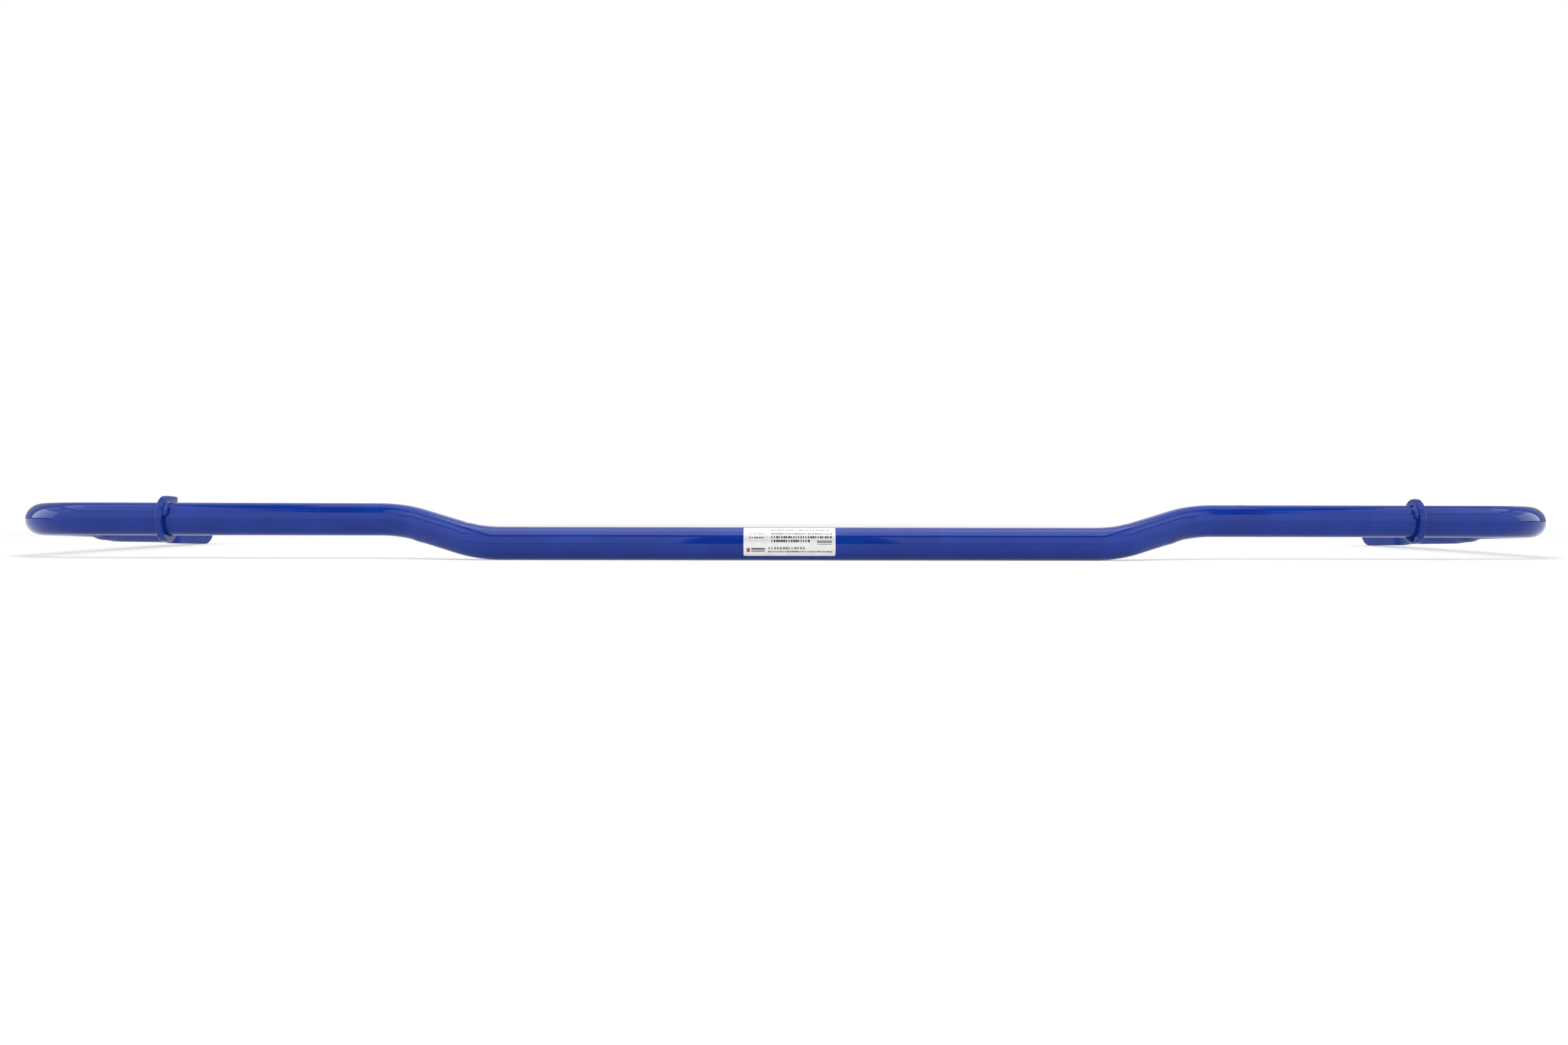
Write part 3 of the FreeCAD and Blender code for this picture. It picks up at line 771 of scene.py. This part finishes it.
# ------------------------------------------------------------------ stage, lights and camera

FLOOR_HALF = 6.0
FLOOR_WHITE = (0.50, 0.50, 0.497, 1)
GLOW_FROM, GLOW_TO = 0.6, 2.2        # distances from the part, in metres
GLOW_NEAR, GLOW_FAR = 0.38, 0.95


def build_floor():
    """A wide pale floor that turns brighter far from the part, like a lit sweep."""
    mesh = bmesh.new()
    corners = [(-1, -1), (1, -1), (1, 1), (-1, 1)]
    mesh.faces.new([mesh.verts.new((FLOOR_HALF * x, FLOOR_HALF * y, 0)) for x, y in corners])
    floor = finish_mesh("floor", mesh, smooth_faces=False)
    material, kit, shader, place = new_material("floor_white")
    shader.inputs["Base Color"].default_value = FLOOR_WHITE
    shader.inputs["Roughness"].default_value = 0.9
    shader.inputs["Specular IOR Level"].default_value = 0.0
    shader.inputs["Emission Color"].default_value = (1, 1, 1, 1)
    distance = kit.add("ShaderNodeVectorMath", operation="LENGTH")
    kit.link(place, distance.inputs[0])
    glow = kit.ramp(distance.outputs["Value"], GLOW_FROM, GLOW_TO, GLOW_NEAR, GLOW_FAR)
    kit.link(glow, shader.inputs["Emission Strength"])
    floor.data.materials.append(material)


# The studio, in metres. Widths are counted from the bar's middle, and depths from the centre
# section's axis, back along the arms. Radiance is how bright a softbox looks.
STUDIO_HALF = 1.9                    # to each side wall
OVERHEAD_HEIGHT = 0.90
OVERHEAD_HALF = 0.50
OVERHEAD_NEAR, OVERHEAD_FAR = -0.50, 0.47
OVERHEAD_RADIANCE = 2.95
WING_HALF = 0.60                     # the wings carry the overhead box's back part outward
WING_NEAR = 0.12
WING_RADIANCE = 1.1
PANEL_PLACE = -1.30
PANEL_INNER = 0.162                  # the camera looks through the gap between the panels
PANEL_LOW, PANEL_HIGH = 0.07, 1.50
PANEL_RADIANCE = 1.65
CEILING = 3.2
REFLECTOR_CORNER = (1.3195, -1.2237)             # the inner front corner of each
REFLECTOR_TURN = math.radians(10)
REFLECTOR_LENGTH = 2.75
REFLECTOR_STRIPS = [                 # start and width, outward from the corner; radiance
    (0.0, 0.4, 1.35),
    (0.4, 0.9, 2.2),
    (1.3, 0.8, 0.4),
]
FRONT_REFLECTOR = (1.55, 3.0, -2.75, -1.32)      # inner, outer, near, far
FRONT_REFLECTOR_RADIANCE = 1.35
WALL_PANELS = [                      # near, far, low, high; radiance
    (-1.30, -0.55, 0.0, 0.45, 1.35),
    (-1.30, -0.55, 0.45, 1.8, 1.65),
    (-0.55, 0.60, 0.12, 0.95, 3.1),
    (-0.55, -0.20, 0.95, 1.8, 1.65),
    (-0.20, 0.60, 0.95, 1.5, 1.0),
]


def softbox(name, centre, aim, width, height, radiance, roll=0.0):
    """An area light that faces a point and gives an even radiance."""
    light = bpy.data.lights.new(name, "AREA")
    light.shape = "RECTANGLE"
    light.size = width
    light.size_y = height
    light.energy = radiance * math.pi * width * height
    lamp = bpy.data.objects.new(name, light)
    way = Vector(aim) - Vector(centre)
    turn = way.to_track_quat("-Z", "Y").to_matrix() @ Matrix.Rotation(roll, 3, "Z")
    lamp.matrix_world = Matrix.Translation(centre) @ turn.to_4x4()
    lamp.visible_camera = False
    bpy.context.scene.collection.objects.link(lamp)


def facing_down(name, left, right, near, far, height, radiance):
    """A softbox overhead that covers a level rectangle; near and far are depths."""
    centre = Vector(((left + right) / 2, CENTRE_AXIS.y + (near + far) / 2, height))
    softbox(name, centre, centre - Vector((0, 0, 1)), abs(right - left), far - near, radiance)


def facing_back(name, left, right, low, high, depth, radiance):
    """A softbox in front that covers an upright rectangle."""
    centre = Vector(((left + right) / 2, CENTRE_AXIS.y + depth, (low + high) / 2))
    softbox(name, centre, centre + Vector((0, 1, 0)), abs(right - left), high - low, radiance)


def build_reflectors(side, sign):
    """The ceiling's reflectors on one side: turned strips, and one more in front of them."""
    away = Vector((sign * math.cos(REFLECTOR_TURN), -math.sin(REFLECTOR_TURN), 0))
    back = Vector((sign * math.sin(REFLECTOR_TURN), math.cos(REFLECTOR_TURN), 0))
    across, depth = REFLECTOR_CORNER
    pivot = Vector((sign * across, CENTRE_AXIS.y + depth, CEILING))
    edge = pivot + back * (REFLECTOR_LENGTH / 2)
    for number, (start, width, radiance) in enumerate(REFLECTOR_STRIPS):
        centre = edge + away * (start + width / 2)
        softbox("%s_reflector_%d" % (side, number), centre, centre - Vector((0, 0, 1)),
                width, REFLECTOR_LENGTH, radiance, -sign * REFLECTOR_TURN)
    inner, outer, near, far = FRONT_REFLECTOR
    facing_down(side + "_front_reflector", sign * inner, sign * outer, near, far,
                CEILING, FRONT_REFLECTOR_RADIANCE)


def build_walls(side, sign):
    """The white panels on one side wall."""
    for number, (near, far, low, high, radiance) in enumerate(WALL_PANELS):
        centre = Vector((sign * STUDIO_HALF, CENTRE_AXIS.y + (near + far) / 2, (low + high) / 2))
        softbox("%s_wall_%d" % (side, number), centre, centre - Vector((sign, 0, 0)),
                far - near, high - low, radiance)


def build_lights():
    """An overhead softbox with a wing at each end, two upright panels in front, and ceiling
    reflectors and wall panels on both sides. The dark gaps draw the lines along the bar."""
    facing_down("overhead", -OVERHEAD_HALF, OVERHEAD_HALF, OVERHEAD_NEAR, OVERHEAD_FAR,
                OVERHEAD_HEIGHT, OVERHEAD_RADIANCE)
    for side, sign in SIDES.items():
        facing_down(side + "_wing", sign * OVERHEAD_HALF, sign * WING_HALF, WING_NEAR,
                    OVERHEAD_FAR, OVERHEAD_HEIGHT, WING_RADIANCE)
        facing_back(side + "_panel", sign * PANEL_INNER, sign * STUDIO_HALF, PANEL_LOW,
                    PANEL_HIGH, PANEL_PLACE, PANEL_RADIANCE)
        build_reflectors(side, sign)
        build_walls(side, sign)


WORLD_MIDDLE, WORLD_SIDES = 1.35, 0.40   # strength of the world behind the part
WORLD_DARK = 0.02                        # and everywhere else
BACKDROP_WHITE = 1.05


def build_world():
    """A white backdrop for the camera, and a dim studio that is white only behind the part."""
    world = bpy.data.worlds.new("studio")
    bpy.context.scene.world = world
    world.use_nodes = True
    kit = Nodes(world.node_tree)
    way = kit.add("ShaderNodeTexCoord").outputs["Generated"]
    split = kit.add("ShaderNodeSeparateXYZ")
    kit.link(way, split.inputs[0])
    behind = kit.ramp(split.outputs["Y"], -0.15, 0.25)
    below_top = kit.ramp(split.outputs["Z"], 0.97, 0.72)
    sideways = kit.math("ABSOLUTE", split.outputs["X"])
    white_wall = kit.ramp(sideways, 0.12, 0.44, WORLD_MIDDLE, WORLD_SIDES)
    white_wall = kit.math("MULTIPLY", kit.math("MULTIPLY", behind, below_top), white_wall)
    strength = kit.math("ADD", white_wall, WORLD_DARK)
    studio = kit.add("ShaderNodeBackground")
    studio.inputs["Color"].default_value = (1, 1, 1, 1)
    kit.link(strength, studio.inputs["Strength"])
    white = kit.add("ShaderNodeBackground")
    white.inputs["Color"].default_value = (1, 1, 1, 1)
    white.inputs["Strength"].default_value = BACKDROP_WHITE
    choice = kit.add("ShaderNodeMixShader")
    kit.link(kit.add("ShaderNodeLightPath").outputs["Is Camera Ray"], choice.inputs[0])
    kit.link(studio.outputs[0], choice.inputs[1])
    kit.link(white.outputs[0], choice.inputs[2])
    output = kit.add("ShaderNodeOutputWorld")
    kit.link(choice.outputs[0], output.inputs["Surface"])


CAMERA_DISTANCE = 1.0177             # from the camera to the bar's middle
CAMERA_HEIGHT = 0.0403
CAMERA_TURN = 0.0372                 # how far the bar is turned from square on, in radians
CAMERA_SIDE = 0.0246                 # the camera stands this far to the right of the middle
CAMERA_TILT = 0.0149
CAMERA_ROLL = 0.0026
CAMERA_LENS = 35.15                  # millimetres, on a 36 mm wide sensor
CAMERA_SHIFT = -0.0342               # the bar sits a little to the left of the lens axis


def build_camera():
    """A low camera in front of the bar, almost level with it."""
    camera = bpy.data.cameras.new("camera")
    camera.sensor_width = 36
    camera.lens = CAMERA_LENS
    camera.shift_x = CAMERA_SHIFT
    camera.clip_start = 0.01
    holder = bpy.data.objects.new("camera", camera)
    bpy.context.scene.collection.objects.link(holder)
    bpy.context.scene.camera = holder
    turn = Matrix.Rotation(-CAMERA_TURN, 3, "Z")
    place = turn @ Vector((CAMERA_SIDE, -CAMERA_DISTANCE, CAMERA_HEIGHT))
    forward = turn @ Vector((0, math.cos(CAMERA_TILT), -math.sin(CAMERA_TILT)))
    right = turn @ Vector((1, 0, 0))
    up = right.cross(forward)
    level = right * math.cos(CAMERA_ROLL) + up * math.sin(CAMERA_ROLL)
    upright = up * math.cos(CAMERA_ROLL) - right * math.sin(CAMERA_ROLL)
    frame_axes = Matrix((level, upright, -forward)).transposed()
    origin = place + Vector((0, CENTRE_AXIS.y, 0))
    holder.matrix_world = Matrix.Translation(origin) @ frame_axes.to_4x4()


# ------------------------------------------------------------------------------- put together

def dress(piece, material, node):
    """Give a piece its material, hang it on the root body, and hide the CAD node that it stands
    for.
    """
    piece.data.materials.clear()
    piece.data.materials.append(material)
    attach(piece, "root")
    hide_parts(node)


def build_part():
    """Every visible piece of the sway bar."""
    bar_paint = paint("bar_paint", 0.35, 0.05)
    ring_paint = paint("ring_paint", 0.55, 0.09, 0.12)
    weld_paint = paint("weld_paint", 0.60, 0.12, 0.35)
    bar = build_bar()
    drill_holes(bar)
    crisp(bar, 35)
    dress(bar, bar_paint, "bar")
    dress(build_label(), label_film(), "label")
    for side in SIDES:
        dress(build_ring(side), ring_paint, side + "_stop_ring")
        beads = (("front", FRONT_TACK), ("rear", REAR_TACKS[side]))
        for number, (end_name, angle) in enumerate(beads):
            seed = 3.0 + 5.0 * number + (11.0 if side == "right" else 0.0)
            bead = build_bead(side, end_name, angle, seed)
            dress(bead, weld_paint, "%s_%s_weld" % (side, end_name))


build_camera()
build_part()
build_floor()
build_lights()
build_world()
bpy.context.scene.view_settings.view_transform = "Standard"
